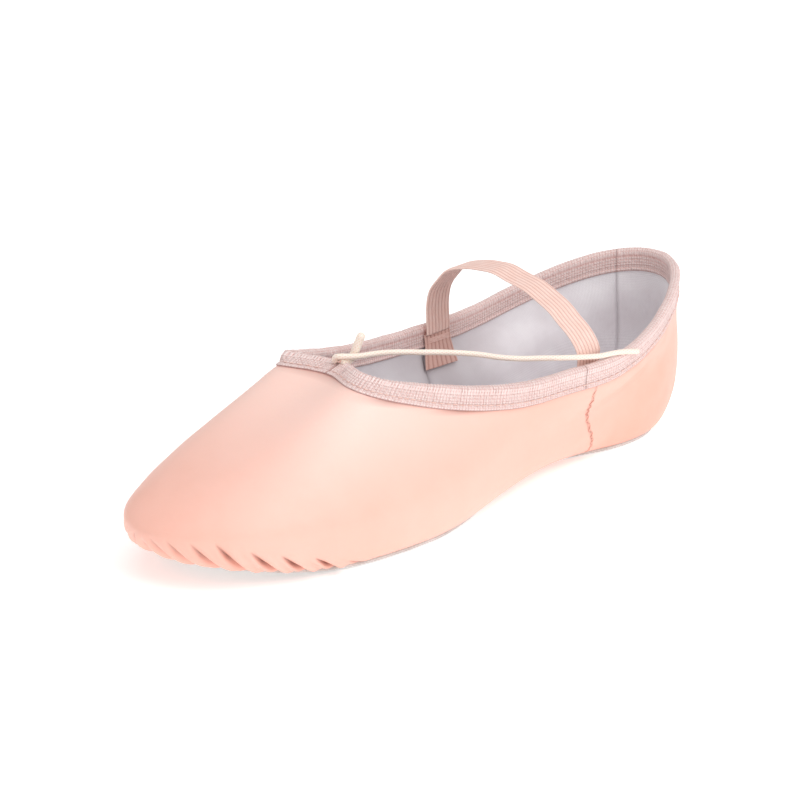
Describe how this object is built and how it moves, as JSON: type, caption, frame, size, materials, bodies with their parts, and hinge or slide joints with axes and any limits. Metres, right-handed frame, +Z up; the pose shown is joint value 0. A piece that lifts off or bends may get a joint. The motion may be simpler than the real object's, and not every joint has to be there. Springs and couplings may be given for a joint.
{
  "type": "ballet slipper",
  "caption": "Pleated leather ballet slipper with a suede sole, a taped topline with a drawstring, and an elastic instep strap.",
  "frame": {"origin": "centre of the shoe's bounding rectangle on the ground, on the underside of the suede sole", "axes": "+Y from the toe to the heel, +X across the shoe to the side where the drawstring's long end lies, +Z up"},
  "size_m": [0.077, 0.23, 0.0642],
  "materials": {
    "upper_leather": "smooth, soft satin",
    "cotton_lining": "plain woven cotton",
    "suede_sole": "matt suede",
    "board": "pressed fibre",
    "foam": "matt",
    "binding_tape": "woven tape",
    "drawstring": "round elastic cord",
    "strap_elastic": "ribbed elastic",
    "thread": "polyester thread"
  },
  "bodies": {
    "shoe": {"vamp_leather": "upper_leather", "heel_leather": "upper_leather", "vamp_lining": "cotton_lining", "side_lining": "cotton_lining", "heel_lining": "cotton_lining", "suede_outsole": "suede_sole", "insole_board": "board", "insole_foam": "foam", "sock_lining": "cotton_lining", "binding_near": "binding_tape", "binding_far": "binding_tape", "binding_heel": "binding_tape", "drawstring_casing_cord": "drawstring", "drawstring_long_end": "drawstring", "drawstring_short_end": "drawstring", "strap_near_end": "strap_elastic", "strap_far_end": "strap_elastic", "strap_near_tack": "thread", "strap_far_tack": "thread", "binding_stitches": "thread", "near_seam_zigzag": "thread", "back_seam_zigzag": "thread", "sole_stitches": "thread", "throat_tack": "thread"},
    "strap": {"elastic_strap": "strap_elastic"}
  },
  "joints": [
    {"name": "strap_swing", "type": "hinge", "parent": "shoe", "child": "strap", "pos_m": [0, 0.0404, 0.0425], "axis": [0.9938, 0.1108, 0], "range_deg": [-50, 25], "stiffness_Nm_per_rad": 0.01}
  ]
}
